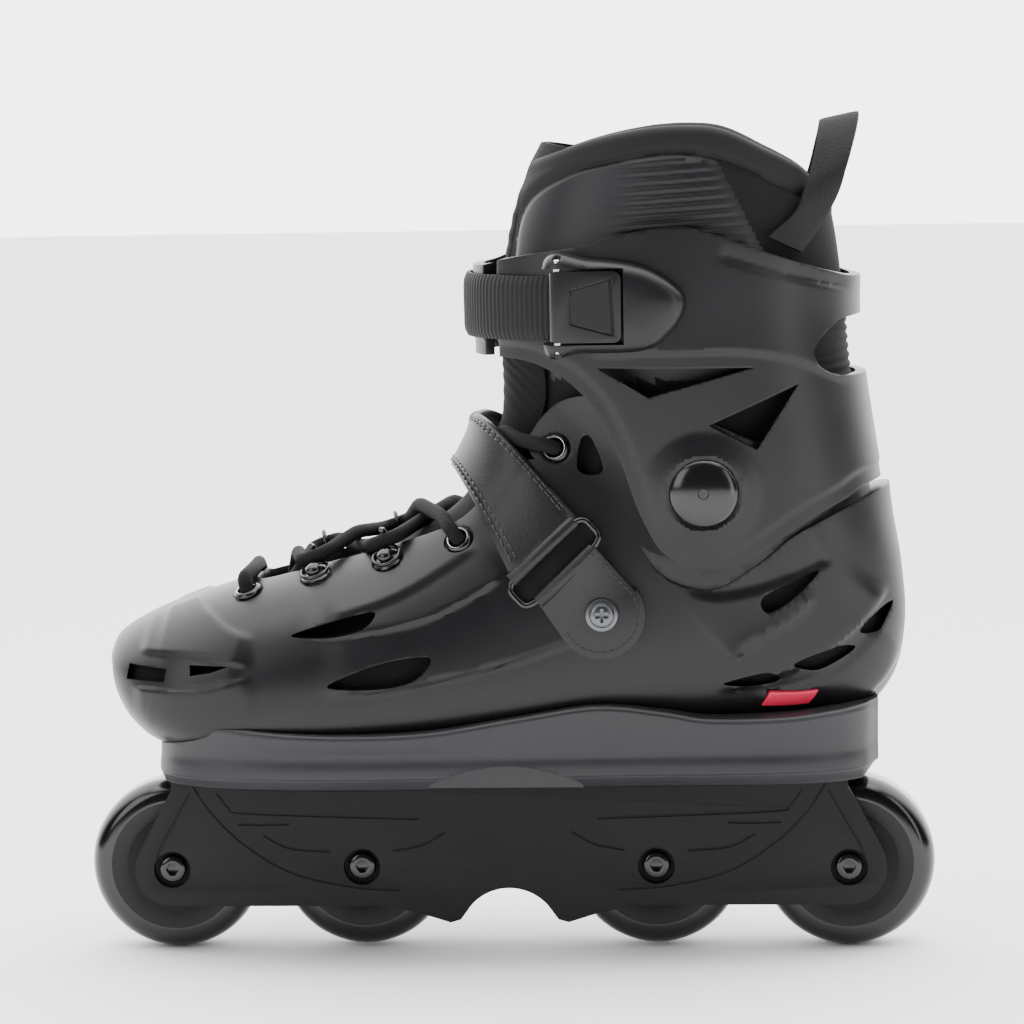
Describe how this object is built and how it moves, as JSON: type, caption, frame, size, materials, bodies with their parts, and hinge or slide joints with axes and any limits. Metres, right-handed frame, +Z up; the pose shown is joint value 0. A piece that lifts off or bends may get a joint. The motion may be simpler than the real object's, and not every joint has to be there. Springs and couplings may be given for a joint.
{
  "type": "inline skate",
  "caption": "Left-foot inline skate: hard boot with leaning cuff, laces, instep strap and ratchet buckle, on a grinding sole and frame with small wheels in line.",
  "frame": {"origin": "on the ground under the middle of the wheelbase, on the middle plane of the wheels and boot; the bounding box's bottom centre lies 2.05 mm from it towards -Y, because the buckle on the outer side stands out further than the sole does on the inner side", "axes": "+X towards the heel, -X towards the toe; -Y towards the outer (lateral) side of the foot, +Y towards the inner side; +Z up"},
  "size_m": [0.2946, 0.1071, 0.2886],
  "materials": {
    "shell_plastic": "satin black moulded polyurethane",
    "sole_plastic": "charcoal, fine matt texture",
    "frame_plastic": "matt black glass-filled nylon",
    "urethane": "glossy black cast urethane",
    "bright_steel": "polished steel",
    "black_steel": "black oxide steel, satin",
    "padding": "black padded mesh over foam",
    "webbing": "black woven polyester",
    "strap_leather": "black coated strap material",
    "strap_plastic": "black toothed plastic strap",
    "red_plastic": "red moulded insert"
  },
  "bodies": {
    "boot": {"anchor_screw_lateral": "bright_steel", "anchor_screw_medial": "bright_steel", "axle_1": "black_steel", "axle_2": "black_steel", "axle_3": "black_steel", "axle_4": "black_steel", "boot_shell": "shell_plastic", "colour_tab_lateral": "red_plastic", "colour_tab_medial": "red_plastic", "cuff_bolt_lateral": "black_steel", "cuff_bolt_medial": "black_steel", "eyelet_ankle_lateral": "bright_steel", "eyelet_ankle_medial": "bright_steel", "eyelet_instep_lateral": "bright_steel", "eyelet_instep_medial": "bright_steel", "eyelet_toe_lateral": "bright_steel", "eyelet_toe_medial": "bright_steel", "frame": "frame_plastic", "frame_bolt_front": "black_steel", "frame_bolt_rear": "black_steel", "instep_strap": "strap_leather", "lace": "webbing", "lace_hook_front_lateral": "black_steel", "lace_hook_front_medial": "black_steel", "lace_hook_rear_lateral": "black_steel", "lace_hook_rear_medial": "black_steel", "liner_foot": "padding", "soul_plate": "sole_plastic", "spacer_1": "bright_steel", "spacer_2": "bright_steel", "spacer_3": "bright_steel", "spacer_4": "bright_steel", "strap_anchor": "strap_leather", "strap_ring": "black_steel", "tongue": "padding"},
    "cuff": {"cuff": "shell_plastic", "liner_collar": "padding", "buckle_base": "shell_plastic", "ladder_strap": "strap_plastic", "ladder_screw": "bright_steel", "pull_loop": "webbing", "buckle_pin": "bright_steel"},
    "buckle_lever": {"buckle_lever": "shell_plastic"},
    "buckle_pawl": {"buckle_pawl": "black_steel"},
    "wheel_1": {"tyre_1": "urethane", "hub_1": "frame_plastic", "bearing_1_lateral": "bright_steel", "bearing_1_medial": "bright_steel"},
    "wheel_2": {"tyre_2": "urethane", "hub_2": "frame_plastic", "bearing_2_lateral": "bright_steel", "bearing_2_medial": "bright_steel"},
    "wheel_3": {"tyre_3": "urethane", "hub_3": "frame_plastic", "bearing_3_lateral": "bright_steel", "bearing_3_medial": "bright_steel"},
    "wheel_4": {"tyre_4": "urethane", "hub_4": "frame_plastic", "bearing_4_lateral": "bright_steel", "bearing_4_medial": "bright_steel"}
  },
  "joints": [
    {"name": "cuff_flex", "type": "hinge", "parent": "boot", "child": "cuff", "pos_m": [0.069, 0, 0.163], "axis": [0, -1, 0], "range_deg": [-2, 7], "deforming": ["tongue"]},
    {"name": "buckle_lever_open", "type": "hinge", "parent": "cuff", "child": "buckle_lever", "pos_m": [0.0215, -0.0529, 0.226], "axis": [0, 0, -1], "range_deg": [0, 100]},
    {"name": "buckle_pawl_release", "type": "hinge", "parent": "buckle_lever", "child": "buckle_pawl", "pos_m": [0.026, -0.052, 0.226], "axis": [0, 0, -1], "range_deg": [0, 4], "stiffness_Nm_per_rad": 0.01},
    {"name": "wheel_1_spin", "type": "hinge", "parent": "boot", "child": "wheel_1", "pos_m": [-0.1173, 0, 0.03], "axis": [0, 1, 0], "continuous": true},
    {"name": "wheel_2_spin", "type": "hinge", "parent": "boot", "child": "wheel_2", "pos_m": [-0.051, 0, 0.0308], "axis": [0, 1, 0], "continuous": true},
    {"name": "wheel_3_spin", "type": "hinge", "parent": "boot", "child": "wheel_3", "pos_m": [0.051, 0, 0.0308], "axis": [0, 1, 0], "continuous": true},
    {"name": "wheel_4_spin", "type": "hinge", "parent": "boot", "child": "wheel_4", "pos_m": [0.1173, 0, 0.03], "axis": [0, 1, 0], "continuous": true}
  ]
}
